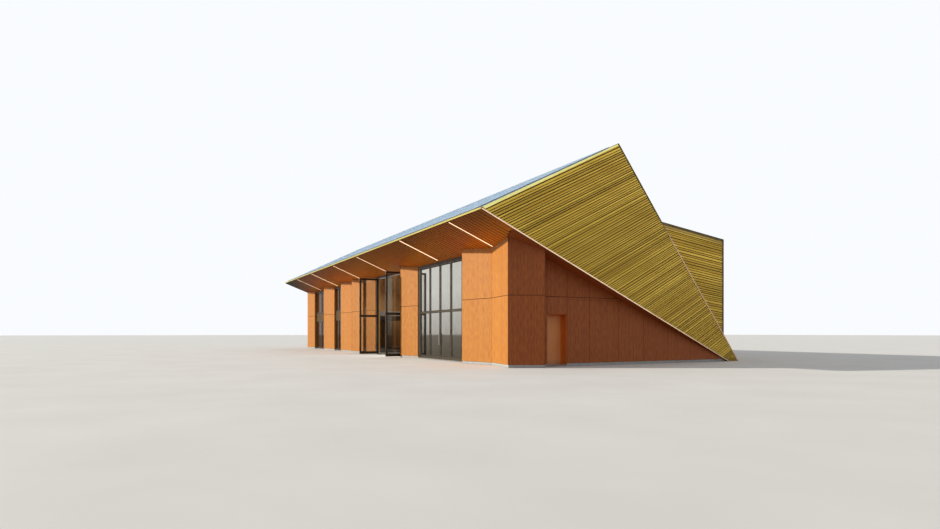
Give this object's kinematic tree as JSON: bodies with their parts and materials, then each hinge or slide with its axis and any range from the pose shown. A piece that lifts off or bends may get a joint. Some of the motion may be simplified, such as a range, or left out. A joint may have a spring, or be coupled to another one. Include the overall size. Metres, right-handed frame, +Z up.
{
  "type": "fire station building",
  "caption": "Long hall under a wedge shaped roof with splayed gable panels, folding vehicle doors, folded timber piers and a raised volume behind.",
  "frame": {"origin": "ground level in the middle of the hall floor, halfway along the hall and halfway between its front line and the rear foot of its underside", "axes": "+X to the right along the front when it is faced, +Y inwards from the vehicle doors to the rear, +Z up"},
  "size_m": [38.5502, 18.665, 9.765],
  "materials": {
    "concrete_floor": "rough",
    "concrete_plinth": "rough",
    "timber_panel": "matte",
    "dark_head_wall": "matte",
    "dark_frame": "satin",
    "bronze_frame": "satin",
    "glass": "gloss",
    "spandrel": "satin",
    "soffit_boards": "satin",
    "dark_boards": "matte",
    "light_diffuser": "satin",
    "roof_metal": "satin",
    "yellow_flashing": "satin",
    "gold_cladding": "satin",
    "ridge_metal": "satin",
    "pale_trim": "satin",
    "dark_trim": "satin",
    "door_frame_timber": "satin",
    "door_paint": "satin",
    "handle_metal": "brushed"
  },
  "bodies": {
    "building": {"hall_floor": "concrete_floor", "rear_floor": "concrete_floor", "door_sills": "concrete_floor", "front_plinths": "concrete_plinth", "side_plinths": "concrete_plinth", "upper_floors": "concrete_floor", "corner_pier_right": "timber_panel", "pier_between_doors": "timber_panel", "slim_pier": "timber_panel", "folded_pier": "timber_panel", "pier_between_windows": "timber_panel", "corner_pier_left": "timber_panel", "front_head_wall": "dark_head_wall", "vehicle_door_frames": "dark_frame", "closed_door_leaves": "bronze_frame", "open_door_leaves": "dark_frame", "vehicle_door_glass": "glass", "window_frames": "dark_frame", "window_spandrels": "spandrel", "window_glass": "glass", "front_soffit": "soffit_boards", "side_soffits": "dark_boards", "light_strips": "light_diffuser", "front_roof": "roof_metal", "eave_fascia": "yellow_flashing", "ridge_cap": "ridge_metal", "rear_roof_slope": "gold_cladding", "gable_panel_right": "gold_cladding", "gable_panel_left": "gold_cladding", "gable_lower_trims": "pale_trim", "gable_verge_bands": "yellow_flashing", "gable_rear_trims": "dark_trim", "right_wall_front": "timber_panel", "right_wall_over_door": "timber_panel", "right_wall_rear": "timber_panel", "left_side_wall": "timber_panel", "side_door_frame": "door_frame_timber", "annex_side_walls": "gold_cladding", "annex_back_wall": "gold_cladding", "back_window_frames": "dark_frame", "back_window_glass": "glass", "annex_roof_slab": "roof_metal", "annex_edge_trims": "dark_trim"},
    "side_door": {"side_door_leaf": "door_paint", "side_door_fittings": "handle_metal"}
  },
  "joints": [
    {"name": "side_door_hinge", "type": "hinge", "parent": "building", "child": "side_door", "pos_m": [17.741, -3.584, 1.1], "axis": [0, 0, -1], "range_deg": [0, 90]}
  ]
}
